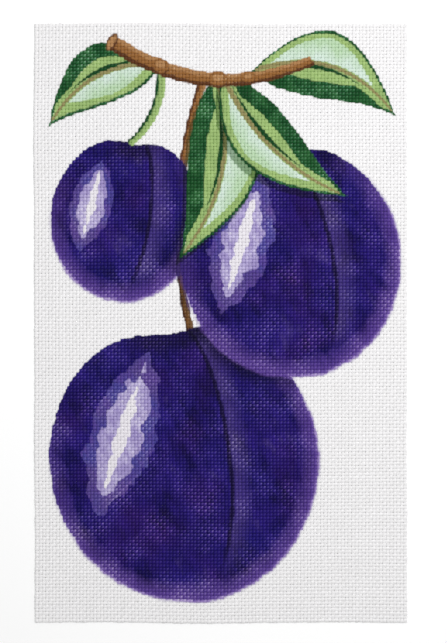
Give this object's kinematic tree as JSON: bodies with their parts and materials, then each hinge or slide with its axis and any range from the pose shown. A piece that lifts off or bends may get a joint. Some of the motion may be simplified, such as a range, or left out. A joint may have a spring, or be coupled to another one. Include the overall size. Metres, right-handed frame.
{
  "type": "painted needlepoint canvas",
  "caption": "Flat rectangular sheet of stiffened, plain-woven cotton canvas with a fruit design painted on its front, ready to be stitched over.",
  "frame": {"origin": "middle of the back, on the surface that the sheet lies on", "axes": "+Z out of the painted front, +Y towards the top of the design, +X to the design's right"},
  "size_m": [0.2126, 0.342, 0.0012],
  "materials": {
    "painted_cotton": "matt starched cotton, with matt acrylic paint on the front"
  },
  "bodies": {
    "root": {"woven_canvas": "painted_cotton"}
  },
  "joints": []
}
